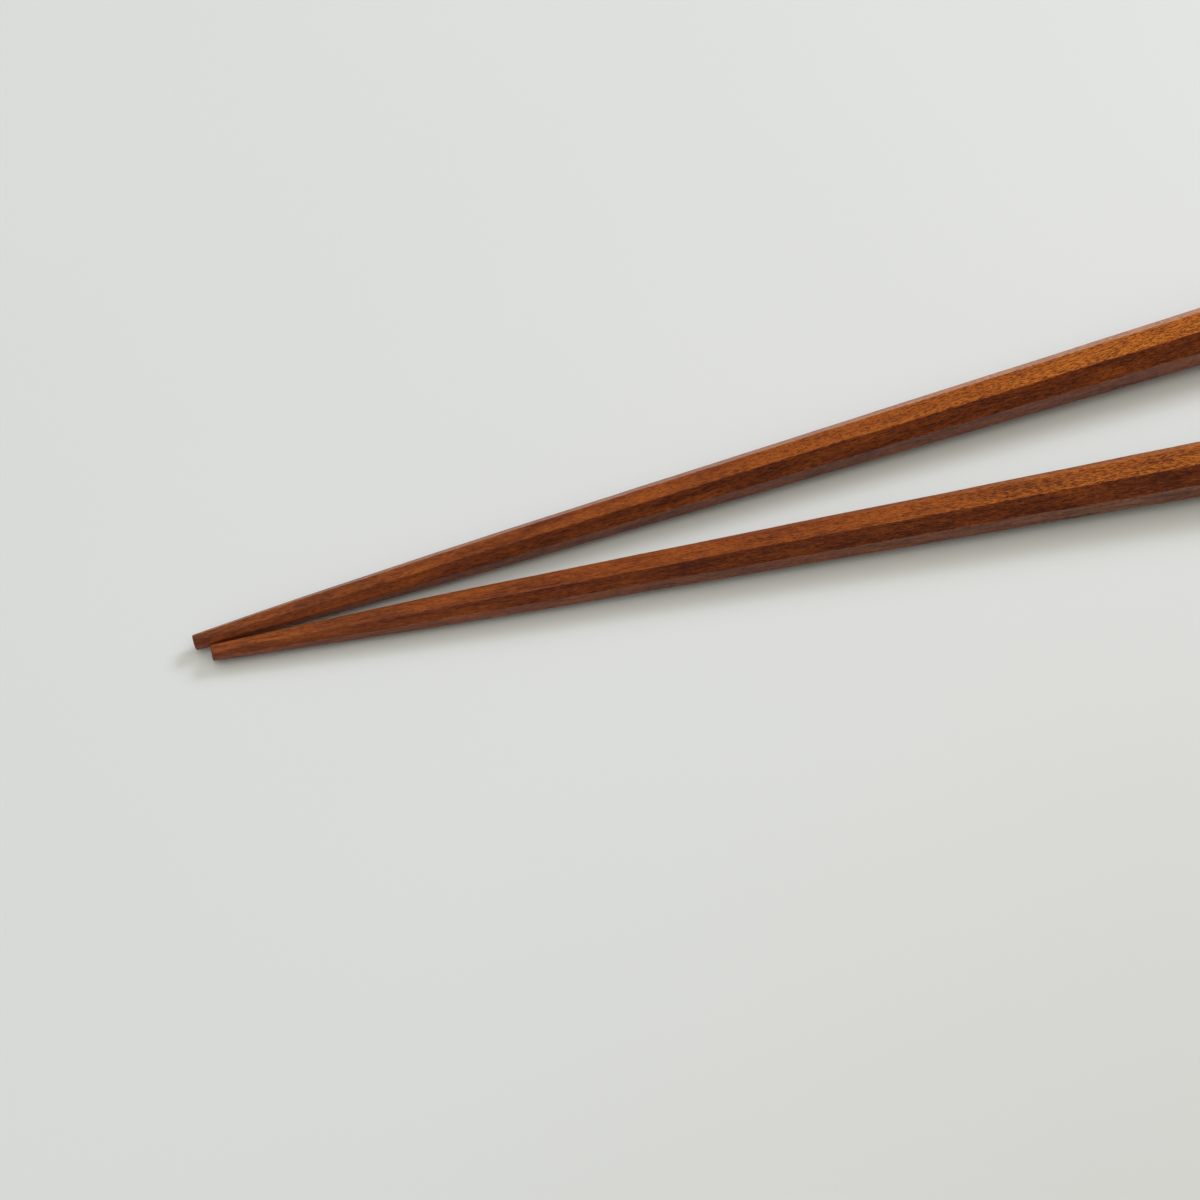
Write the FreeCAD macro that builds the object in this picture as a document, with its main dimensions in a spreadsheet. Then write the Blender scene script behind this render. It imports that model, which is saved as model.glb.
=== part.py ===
import FreeCAD, Part
import math
import os

import Sketcher

# A pair of octagonal wooden chopsticks, lying on a table with their points together.
#
# Each stick is one piece of hardwood, planed from a square strip. Eight equal facets run from end to end: from
# a cut-off tip they swell in one long curve to a straight taper, and ease into the parallel flats of the
# handle. Sandpaper has rounded the edges between the facets and the edges of both ends. The stick rests on one
# facet along the straight taper, so its tip and its handle end stand a little clear of the table.
#
# Millimetres. +X runs from the points to the handles midway between the sticks, +Z is up from the table.
# The origin is under the middle of the pair, on the table.

SIZES = (
    ("stick_length", 230.0, "tip to handle end, along the stick"),
    ("tip_flats", 2.08, "across the flats at the cut-off tip"),
    ("point_length", 46.0, "length of the curved point, where the straight taper starts"),
    ("root_flats", 3.19, "across the flats where the straight taper would reach the tip"),
    ("taper_end", 182.5, "where the straight taper would meet the handle's flats"),
    ("handle_flats", 8.20, "across the flats of the handle"),
    ("handle_blend", 17.5, "half the length of the curve from taper to handle"),
    ("planing_allowance", 1.0, "wood planed off each side of the square strip at the handle"),
    ("plane_overrun", 2.0, "how far each planing cut runs off both ends"),
    ("arris_round", 0.20, "radius of the sanded edges between the facets"),
    ("tip_round", 0.20, "radius of the sanded edge round the tip"),
    ("end_round", 0.50, "radius of the sanded edge round the handle end"),
    ("facet_count", 8, "facets round a stick"),
    ("half_spread", 3.82, "angle in degrees between each stick and the pair's middle line"),
    ("tip_gap", 0.10, "clear width between the flats of the two tips"),
    ("front_lead", 1.80, "how far the front stick lies nearer the handles than the back one"),
)

# Name of each stick, the side of the middle line that it lies on, and 1 if it is pushed on towards the handles.
STICKS = (
    ("back_chopstick", 1, 0),
    ("front_chopstick", -1, 1),
)

# How a sketch's constraints name its own origin and its upright axis.
SKETCH_ORIGIN = (-1, 1)
SKETCH_UPRIGHT = (-2,)

# Slope of the straight taper's facets against the stick's centre line.
TAPER_ANGLE = "atan((Sizes.handle_flats - Sizes.root_flats) / 2 / Sizes.taper_end)"

# Half the pair's length along +X, from the back stick's tip to the front stick's handle corner.
HALF_PAIR = (
    f"((Sizes.stick_length * cos({TAPER_ANGLE}) * cos(Sizes.half_spread) + Sizes.front_lead"
    " + (Sizes.handle_flats - Sizes.tip_flats) / 2 * sin(Sizes.half_spread)) / 2)"
)


def make_sheet(doc):
    sheet = doc.addObject("Spreadsheet::Sheet", "Sizes")
    sheet.set("A1", "Size")
    sheet.set("B1", "Value")
    sheet.set("C1", "What it measures")
    for row, (alias, value, meaning) in enumerate(SIZES, start=2):
        sheet.set(f"A{row}", alias)
        sheet.set(f"B{row}", str(value))
        sheet.set(f"C{row}", meaning)
        sheet.setAlias(f"B{row}", alias)
    doc.recompute()
    return sheet


def origin_feature(body, role):
    for feature in body.Origin.OriginFeatures:
        if feature.Role == role:
            return feature
    raise ValueError(f"{body.Label} has no {role}")


def new_sketch(body, name, role):
    sketch = body.newObject("Sketcher::SketchObject", name)
    sketch.AttachmentSupport = [(origin_feature(body, role), "")]
    sketch.MapMode = "FlatFace"
    return sketch


def add_size(sketch, constraint, name, expression):
    index = sketch.addConstraint(constraint)
    sketch.renameConstraint(index, name)
    sketch.setExpression(f"Constraints.{name}", expression)


def join(sketch, kind, first, second):
    sketch.addConstraint(Sketcher.Constraint(kind, *first, *second))


def make_strip(body, sheet):
    """The square strip that the stick is planed from."""
    half = sheet.handle_flats / 2 + sheet.planing_allowance
    corners = [(-half, -half), (half, -half), (half, half), (-half, half)]
    sketch = new_sketch(body, "StripSection", "YZ_Plane")
    sides = []
    for start, end in zip(corners, corners[1:] + corners[:1]):
        line = Part.LineSegment(FreeCAD.Vector(*start, 0), FreeCAD.Vector(*end, 0))
        sides.append(sketch.addGeometry(line, False))
    for index, side in enumerate(sides):
        join(sketch, "Coincident", (side, 2), (sides[(index + 1) % 4], 1))
        direction = "Horizontal" if index % 2 == 0 else "Vertical"
        sketch.addConstraint(Sketcher.Constraint(direction, side))
    bottom, right = sides[0], sides[1]
    # The origin is midway between two opposite corners.
    sketch.addConstraint(Sketcher.Constraint("Symmetric", bottom, 1, right, 2, *SKETCH_ORIGIN))
    strip_side = "Sizes.handle_flats + 2 * Sizes.planing_allowance"
    add_size(sketch, Sketcher.Constraint("DistanceX", bottom, 1, bottom, 2, 2 * half), "width", strip_side)
    add_size(sketch, Sketcher.Constraint("DistanceY", right, 1, right, 2, 2 * half), "height", strip_side)

    strip = body.newObject("PartDesign::Pad", "Strip")
    strip.Profile = sketch
    strip.setExpression("Length", "Sizes.stick_length")
    return strip


def bowed_arc(right, left, bow):
    """A flat arc that stands above its chord by bow, drawn from its right end to its left end."""
    middle = FreeCAD.Vector((left[0] + right[0]) / 2, (left[1] + right[1]) / 2 + bow, 0)
    return Part.Arc(FreeCAD.Vector(*right, 0), middle, FreeCAD.Vector(*left, 0))


def make_facet_cut(body, sheet):
    """The wood that is planed away above one facet, seen from the side of the stick."""
    slope = (sheet.handle_flats - sheet.root_flats) / 2 / sheet.taper_end
    outside = 0.75 * (sheet.handle_flats + 2 * sheet.planing_allowance)
    blend_start = sheet.taper_end - sheet.handle_blend
    blend_end = sheet.taper_end + sheet.handle_blend
    run_off = sheet.stick_length + sheet.plane_overrun

    # Where the facet's line changes, from the tip to the handle end.
    before_tip = (-sheet.plane_overrun, sheet.tip_flats / 2)
    tip = (0.0, sheet.tip_flats / 2)
    taper_start = (sheet.point_length, sheet.root_flats / 2 + slope * sheet.point_length)
    taper_stop = (blend_start, sheet.root_flats / 2 + slope * blend_start)
    handle_start = (blend_end, sheet.handle_flats / 2)
    past_handle = (run_off, sheet.handle_flats / 2)
    above_handle = (run_off, outside)
    above_tip = (-sheet.plane_overrun, outside)
    taper_root = (0.0, sheet.root_flats / 2)
    taper_meets_handle = (sheet.taper_end, sheet.handle_flats / 2)

    sketch = new_sketch(body, "FacetCut", "XZ_Plane")

    def add_line(start, end, construction=False):
        line = Part.LineSegment(FreeCAD.Vector(*start, 0), FreeCAD.Vector(*end, 0))
        return sketch.addGeometry(line, construction)

    def add_arc(left, right, bow):
        return sketch.addGeometry(bowed_arc(right, left, bow), False)

    lead_in = add_line(before_tip, tip)
    point_bow = (sheet.root_flats - sheet.tip_flats) / 8
    point = add_arc(tip, taper_start, point_bow)
    taper = add_line(taper_start, taper_stop)
    blend = add_arc(taper_stop, handle_start, slope * sheet.handle_blend / 4)
    handle = add_line(handle_start, past_handle)
    handle_side = add_line(past_handle, above_handle)
    top = add_line(above_handle, above_tip)
    tip_side = add_line(above_tip, before_tip)
    taper_line = add_line(taper_root, taper_meets_handle, construction=True)

    # An arc's first end is its right one, because it is drawn against the clock.
    join(sketch, "Coincident", (lead_in, 2), (point, 2))
    join(sketch, "Tangent", (point, 1), (taper, 1))
    join(sketch, "Tangent", (taper, 2), (blend, 2))
    join(sketch, "Tangent", (blend, 1), (handle, 1))
    join(sketch, "Coincident", (handle, 2), (handle_side, 1))
    join(sketch, "Coincident", (handle_side, 2), (top, 1))
    join(sketch, "Coincident", (top, 2), (tip_side, 1))
    join(sketch, "Coincident", (tip_side, 2), (lead_in, 1))
    for line in (lead_in, handle, top):
        sketch.addConstraint(Sketcher.Constraint("Horizontal", line))
    for line in (handle_side, tip_side):
        sketch.addConstraint(Sketcher.Constraint("Vertical", line))
    join(sketch, "PointOnObject", (lead_in, 2), SKETCH_UPRIGHT)
    join(sketch, "PointOnObject", (taper_line, 1), SKETCH_UPRIGHT)
    join(sketch, "PointOnObject", (taper, 1), (taper_line,))
    join(sketch, "PointOnObject", (taper, 2), (taper_line,))

    def along(geometry, end, value, name, expression):
        add_size(sketch, Sketcher.Constraint("DistanceX", *SKETCH_ORIGIN, geometry, end, value), name, expression)

    def out(geometry, end, value, name, expression):
        add_size(sketch, Sketcher.Constraint("DistanceY", *SKETCH_ORIGIN, geometry, end, value), name, expression)

    out(lead_in, 2, tip[1], "tip", "Sizes.tip_flats / 2")
    along(taper, 1, taper_start[0], "point_length", "Sizes.point_length")
    out(taper_line, 1, taper_root[1], "taper_root", "Sizes.root_flats / 2")
    along(taper_line, 2, taper_meets_handle[0], "taper_end", "Sizes.taper_end")
    out(taper_line, 2, taper_meets_handle[1], "taper_top", "Sizes.handle_flats / 2")
    along(handle, 1, handle_start[0], "handle_start", "Sizes.taper_end + Sizes.handle_blend")
    out(handle, 1, handle_start[1], "handle_flat", "Sizes.handle_flats / 2")
    along(handle, 2, past_handle[0], "run_off", "Sizes.stick_length + Sizes.plane_overrun")
    add_size(sketch, Sketcher.Constraint("DistanceX", lead_in, 1, lead_in, 2, sheet.plane_overrun),
             "run_on", "Sizes.plane_overrun")
    out(top, 1, above_handle[1], "outside", "0.75 * (Sizes.handle_flats + 2 * Sizes.planing_allowance)")

    cut = body.newObject("PartDesign::Pocket", "FirstFacet")
    cut.Profile = sketch
    cut.Midplane = True
    cut.setExpression("Length", "2 * (Sizes.handle_flats + 2 * Sizes.planing_allowance)")
    return cut


def edges_along_stick(shape):
    """Names of the edges between two facets, which run along the stick from end to end."""
    names = []
    for index, edge in enumerate(shape.Edges, start=1):
        if edge.BoundBox.XLength > edge.BoundBox.YLength + edge.BoundBox.ZLength:
            names.append(f"Edge{index}")
    return names


def edges_of_end(shape, distance):
    """Names of the edges round the flat end at a distance along the stick."""
    names = []
    for index, edge in enumerate(shape.Edges, start=1):
        if all(math.isclose(vertex.X, distance, abs_tol=1e-4) for vertex in edge.Vertexes):
            names.append(f"Edge{index}")
    return names


def round_edges(doc, body, name, base, edges, size):
    """Sands the named edges of the last feature to the radius in the sheet."""
    fillet = body.newObject("PartDesign::Fillet", name)
    fillet.Base = (base, edges)
    fillet.setExpression("Radius", f"Sizes.{size}")
    body.Tip = fillet
    doc.recompute()
    return fillet


def make_stick(doc, sheet, name, side, pushed_on):
    body = doc.addObject("PartDesign::Body", name)
    body.Label = name

    strip = make_strip(body, sheet)
    doc.recompute()
    cut = make_facet_cut(body, sheet)
    doc.recompute()
    if not cut.Shape.Volume < strip.Shape.Volume:
        raise ValueError(f"{name}: the first facet's cut takes nothing away")

    facets = body.newObject("PartDesign::PolarPattern", "Facets")
    facets.Originals = [cut]
    facets.Axis = (origin_feature(body, "X_Axis"), [""])
    facets.Angle = 360
    facets.setExpression("Occurrences", "Sizes.facet_count")
    body.Tip = facets
    doc.recompute()

    arrises = round_edges(doc, body, "Arrises", facets, edges_along_stick(facets.Shape), "arris_round")
    tip_edges = edges_of_end(arrises.Shape, 0)
    tip = round_edges(doc, body, "TipEdge", arrises, tip_edges, "tip_round")
    handle_edges = edges_of_end(tip.Shape, sheet.stick_length)
    round_edges(doc, body, "HandleEdge", tip, handle_edges, "end_round")

    # The first facet is turned down to the table, and the stick leans by the taper's slope, so that it lies flat.
    along = f"-{HALF_PAIR} + {pushed_on} * Sizes.front_lead"
    across = f"{side} * (Sizes.tip_flats + Sizes.tip_gap) / 2"
    above = f"Sizes.root_flats / 2 * cos({TAPER_ANGLE})"
    turn = f"create(<<rotation>>; {side} * Sizes.half_spread; -{TAPER_ANGLE}; 180)"
    body.setExpression("Placement", f"create(<<placement>>; create(<<vector>>; {along}; {across}; {above}); {turn})")
    doc.recompute()
    return body


def check(doc, bodies):
    for obj in doc.Objects:
        if "Invalid" in obj.State or "Error" in obj.State:
            raise ValueError(f"{obj.Label} failed: {obj.State}")
    for body in bodies:
        if body.Shape.isNull() or not body.Shape.isValid() or len(body.Shape.Solids) != 1:
            raise ValueError(f"{body.Label} is not one sound solid")


def main():
    os.makedirs("parts", exist_ok=True)
    doc = FreeCAD.newDocument("Chopsticks")
    sheet = make_sheet(doc)
    bodies = [make_stick(doc, sheet, name, side, pushed_on) for name, side, pushed_on in STICKS]
    check(doc, bodies)
    for body in bodies:
        box = body.Shape.BoundBox
        print(f"{body.Label}: {body.Shape.Volume:.1f} mm3, x {box.XMin:.2f} to {box.XMax:.2f},"
              f" y {box.YMin:.2f} to {box.YMax:.2f}, z {box.ZMin:.3f} to {box.ZMax:.3f}")
        body.Shape.exportStep(f"parts/{body.Label}.step")


main()
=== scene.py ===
"""Dresses a resting pair of planed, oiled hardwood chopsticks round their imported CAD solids.

Each stick is one piece. Geometry Nodes plane its eight facets from named sizes, and its wood is
a procedural material whose grain runs along that stick.
"""

import logging
import math
from dataclasses import dataclass
from enum import Enum
from typing import Any, Dict, List, Sequence, Tuple, Union

import bpy
import numpy as np
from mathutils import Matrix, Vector


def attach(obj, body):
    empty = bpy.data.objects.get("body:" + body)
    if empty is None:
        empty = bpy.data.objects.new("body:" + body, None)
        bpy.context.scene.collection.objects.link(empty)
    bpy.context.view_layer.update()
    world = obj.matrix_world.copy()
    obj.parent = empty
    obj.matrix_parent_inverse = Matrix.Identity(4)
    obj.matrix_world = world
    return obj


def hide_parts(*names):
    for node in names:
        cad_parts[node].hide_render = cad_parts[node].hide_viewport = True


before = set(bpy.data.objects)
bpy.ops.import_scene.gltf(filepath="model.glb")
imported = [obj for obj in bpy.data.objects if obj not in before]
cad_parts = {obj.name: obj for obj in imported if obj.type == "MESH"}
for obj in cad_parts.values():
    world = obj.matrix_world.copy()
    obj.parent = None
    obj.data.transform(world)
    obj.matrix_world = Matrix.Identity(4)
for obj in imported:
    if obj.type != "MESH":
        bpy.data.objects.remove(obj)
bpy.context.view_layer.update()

LOG = logging.getLogger("chopsticks")
MM = 0.001
FACETS = 8
FACET_TURN = 2 * math.pi / FACETS
HALF_TURN = FACET_TURN / 2
FLOOR_FACET = 6
CAP_ROWS = 3
SEAM_GAP = 1e-6

# How square to the axis an end face is, and how alike two triangles of one flat face are.
END_SQUARE = 0.9
SAME_PLANE = 0.9999
# How far apart the plane's noise is read on the next facet and for the next seed.
FACET_SHIFT = 7.31
SEED_SHIFT = 3.17
# The share of a flat beside its arris that counts as the arris.
ARRIS_SHARE = 0.05
# The plane's noise: its finer layers, and the values between which it bites.
STROKE_DETAIL = 3.5
STROKE_ROUGHNESS = 0.6
STROKE_BAND = (0.3, 0.7)
# The distances from a pore's middle, in shares of its cell, where it ends and where it is full.
PORE_EDGE = (0.38, 0.22)
# The patches of a rubbed arris in millimetres of grain, where on it they start and are full,
# and the values of the noise between which they come in.
RUBBED_PATCH = (1.6, 0.5, 0.5)
RUBBED_EDGE = (0.35, 1.0)
RUBBED_BAND = (0.34, 0.62)
# A Mix node's sockets: the share, the two values and the result.
VECTOR_MIX, VECTOR_MIXED = (0, 4, 5), 1
COLOUR_MIX, COLOUR_MIXED = (0, 6, 7), 2

PROFILE_SIZES = ("Length", "Tip Flats", "Point Length", "Root Flats", "Taper End",
                 "Handle Flats", "Handle Blend", "Tip Round", "End Round")
CUT_SIZES = ("Arris Round", "Point Wear", "Plane Depth", "Plane Stroke")
FLOAT = "NodeSocketFloat"
VECTOR = "NodeSocketVector"

Colour = Tuple[float, float, float, float]
Span = Tuple[float, float]


class Wire:
    """A node's output that can stand in a sum: each sign adds one Math node."""

    def __init__(self, sheet: "NodeSheet", socket: bpy.types.NodeSocket) -> None:
        """Keeps the sheet that the socket belongs to."""
        self.sheet = sheet
        self.socket = socket

    def __add__(self, other: "Amount") -> "Wire":
        """Adds."""
        return self.sheet.math("ADD", self, other)

    def __radd__(self, other: float) -> "Wire":
        """Adds, with a plain number first."""
        return self.sheet.math("ADD", other, self)

    def __sub__(self, other: "Amount") -> "Wire":
        """Takes away."""
        return self.sheet.math("SUBTRACT", self, other)

    def __rsub__(self, other: float) -> "Wire":
        """Takes this away from a plain number."""
        return self.sheet.math("SUBTRACT", other, self)

    def __mul__(self, other: "Amount") -> "Wire":
        """Multiplies."""
        return self.sheet.math("MULTIPLY", self, other)

    def __rmul__(self, other: float) -> "Wire":
        """Multiplies, with a plain number first."""
        return self.sheet.math("MULTIPLY", other, self)

    def __truediv__(self, other: "Amount") -> "Wire":
        """Divides."""
        return self.sheet.math("DIVIDE", self, other)


Amount = Union[Wire, float, int]


class NodeSheet:
    """Adds and joins the nodes of one tree."""

    def __init__(self, tree: bpy.types.NodeTree) -> None:
        """Keeps the tree that is being drawn."""
        self.tree = tree

    def add(self, kind: str, **settings: Any) -> bpy.types.Node:
        """Adds a node.

        Args:
            kind: the node's type name.
            settings: the node's own settings, such as its operation.

        Returns:
            The new node.
        """
        node = self.tree.nodes.new(kind)
        for name, value in settings.items():
            setattr(node, name, value)
        return node

    def put(self, socket: bpy.types.NodeSocket, value: Any) -> None:
        """Gives an input its value.

        Args:
            socket: the input.
            value: a wire to join to it, or a plain value to set.
        """
        if isinstance(value, Wire):
            self.tree.links.new(value.socket, socket)
        else:
            socket.default_value = value

    def wire(self, node: bpy.types.Node, output: Union[int, str] = 0) -> Wire:
        """Returns one output of a node."""
        return Wire(self, node.outputs[output])

    def math(self, operation: str, *values: Amount, clamp: bool = False) -> Wire:
        """Adds a Math node.

        Args:
            operation: the node's operation.
            values: its inputs, in order.
            clamp: whether the result is held between 0 and 1.

        Returns:
            The result.
        """
        node = self.add("ShaderNodeMath", operation=operation, use_clamp=clamp)
        for socket, value in zip(node.inputs, values):
            self.put(socket, value)
        return self.wire(node)

    def clamp(self, value: Amount) -> Wire:
        """Holds a number between 0 and 1."""
        return self.math("ADD", value, 0.0, clamp=True)

    def sway(self, noise: Wire, amount: float) -> Wire:
        """Turns a noise about 0.5 into a sway about 0."""
        return (noise - 0.5) * amount

    def vector(self, operation: str, *values: Any) -> Wire:
        """Adds a Vector Math node.

        Args:
            operation: the node's operation.
            values: its inputs, in order.

        Returns:
            The result.
        """
        node = self.add("ShaderNodeVectorMath", operation=operation)
        for socket, value in zip(node.inputs, values):
            self.put(socket, value)
        return self.wire(node)

    def join(self, x: Amount, y: Amount, z: Amount) -> Wire:
        """Makes a vector of three numbers.

        Args:
            x: the first.
            y: the second.
            z: the third.

        Returns:
            The vector.
        """
        node = self.add("ShaderNodeCombineXYZ")
        for socket, value in zip(node.inputs, (x, y, z)):
            self.put(socket, value)
        return self.wire(node)

    def split(self, vector: Wire) -> Tuple[Wire, Wire, Wire]:
        """Takes a vector apart.

        Args:
            vector: the vector.

        Returns:
            Its three numbers.
        """
        node = self.add("ShaderNodeSeparateXYZ")
        self.put(node.inputs[0], vector)
        return self.wire(node, 0), self.wire(node, 1), self.wire(node, 2)

    def ramp(self, value: Amount, start: float, stop: float, low: float = 0.0,
             high: float = 1.0, kind: str = "SMOOTHSTEP") -> Wire:
        """Maps a number from one range to another, held at both ends.

        Args:
            value: the number.
            start: what gives low.
            stop: what gives high.
            low: the result at start.
            high: the result at stop.
            kind: SMOOTHSTEP or LINEAR.

        Returns:
            The mapped number.
        """
        node = self.add("ShaderNodeMapRange", interpolation_type=kind, clamp=True)
        for name, amount in (("Value", value), ("From Min", start), ("From Max", stop),
                             ("To Min", low), ("To Max", high)):
            self.put(node.inputs[name], amount)
        return self.wire(node)

    def noise(self, vector: Wire, detail: float = 2.0, roughness: float = 0.5,
              distortion: float = 0.0, dimensions: str = "3D") -> Wire:
        """Adds a Noise Texture of unit scale.

        Args:
            vector: where it is read, already divided by the size of its blotches.
            detail: how many finer layers it has.
            roughness: how strong those layers are.
            distortion: how much it is bent.
            dimensions: 2D or 3D.

        Returns:
            The noise, about 0.5.
        """
        node = self.add("ShaderNodeTexNoise", noise_dimensions=dimensions)
        for name, value in (("Vector", vector), ("Scale", 1.0), ("Detail", detail),
                            ("Roughness", roughness), ("Distortion", distortion)):
            self.put(node.inputs[name], value)
        return self.wire(node, 0)

    def blend(self, amount: Amount, first: Any, second: Any, mode: str = "MIX") -> Wire:
        """Mixes two colours.

        Args:
            amount: the share of the second.
            first: a wire or a colour.
            second: a wire or a colour.
            mode: how they mix.

        Returns:
            The mixed colour.
        """
        node = self.add("ShaderNodeMix", data_type="RGBA", blend_type=mode)
        for index, value in zip(COLOUR_MIX, (amount, first, second)):
            self.put(node.inputs[index], value)
        return self.wire(node, COLOUR_MIXED)

    def towards(self, facing: Wire, side: "Side", lean: float = 0.0) -> Wire:
        """Measures how much a facet's outward direction agrees with one side of the stick.

        Args:
            facing: the outward direction, across the stick.
            side: the side.
            lean: degrees past that side.

        Returns:
            The cosine of the angle between the two.
        """
        angle = math.radians(side.value + lean)
        node = self.add("ShaderNodeVectorMath", operation="DOT_PRODUCT")
        self.put(node.inputs[0], facing)
        self.put(node.inputs[1], (0.0, math.cos(angle), math.sin(angle)))
        return self.wire(node, "Value")

    def group(self, tree: bpy.types.NodeTree, **values: Any) -> bpy.types.Node:
        """Places a node group.

        Args:
            tree: the group.
            values: its inputs by name, with _ for a space.

        Returns:
            The group's node.
        """
        shading = self.tree.bl_idname == "ShaderNodeTree"
        node = self.add("ShaderNodeGroup" if shading else "GeometryNodeGroup", node_tree=tree)
        for name, value in values.items():
            self.put(node.inputs[name.replace("_", " ")], value)
        return node


def open_group(kind: str, name: str, takes: Dict[str, str],
               gives: Dict[str, str]) -> Tuple[NodeSheet, Dict[str, Wire], bpy.types.Node]:
    """Starts a node group.

    Args:
        kind: GeometryNodeTree or ShaderNodeTree.
        name: the group's name.
        takes: its inputs, from name to socket type.
        gives: its outputs, from name to socket type.

    Returns:
        The sheet to draw on, the wires of the inputs by name, and the output node.
    """
    tree = bpy.data.node_groups.new(name, kind)
    for label, socket in takes.items():
        tree.interface.new_socket(label, in_out="INPUT", socket_type=socket)
    for label, socket in gives.items():
        tree.interface.new_socket(label, in_out="OUTPUT", socket_type=socket)
    sheet = NodeSheet(tree)
    source = sheet.add("NodeGroupInput")
    wires = {label: sheet.wire(source, label) for label in takes}
    return sheet, wires, sheet.add("NodeGroupOutput")


class Side(Enum):
    """Bearings round a stick's axis, in degrees from the far side over the top."""

    FAR_SLOPE = 45.0
    FAR_ARRIS = 67.5
    TOP = 90.0
    NEAR_SIDE = 180.0
    TABLE = 270.0


@dataclass(frozen=True)
class Seat:
    """Where a CAD stick lies: the middles of its two end faces, in metres."""

    tip: Vector
    handle: Vector

    @property
    def length(self) -> float:
        """Returns the stick's length."""
        return (self.handle - self.tip).length

    @property
    def turn(self) -> Tuple[float, float, float]:
        """Returns the Euler angles that turn +X onto the stick's axis."""
        axis = (self.handle - self.tip).normalized()
        return 0.0, -math.asin(axis.z), math.atan2(axis.y, axis.x)

    @classmethod
    def read(cls, node: str) -> "Seat":
        """Reads the seat from a CAD node's mesh.

        Args:
            node: the CAD node's name.

        Returns:
            Its seat.
        """
        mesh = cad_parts[node].data
        points = np.array([v.co for v in mesh.vertices], float)
        corners = points[np.array([p.vertices[:] for p in mesh.polygons], int)]
        cross = np.cross(corners[:, 1] - corners[:, 0], corners[:, 2] - corners[:, 0])
        area = np.linalg.norm(cross, axis=1)
        middle = corners.mean(axis=1)
        ends = []
        for side in (-1.0, 1.0):
            facing = np.where(side * cross[:, 0] > END_SQUARE * area, area, 0.0)
            best = int(np.argmax(facing))
            normal = cross[best] / area[best]
            level = np.abs((middle - middle[best]) @ normal) < SEAM_GAP
            flat = level & (cross @ normal > SAME_PLANE * area)
            ends.append(Vector(np.average(middle[flat], axis=0, weights=area[flat])))
        return cls(tip=ends[0], handle=ends[1])


@dataclass(frozen=True)
class GridPlace:
    """Where a point of the flat grid belongs on the stick.

    along is metres from the tip, and open_cap 1 except where an end closes. corner counts the
    arrises, swing is the turn round one, and across runs over the flat after it.
    """

    along: Wire
    open_cap: Wire
    corner: Wire
    swing: Wire
    across: Wire


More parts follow.
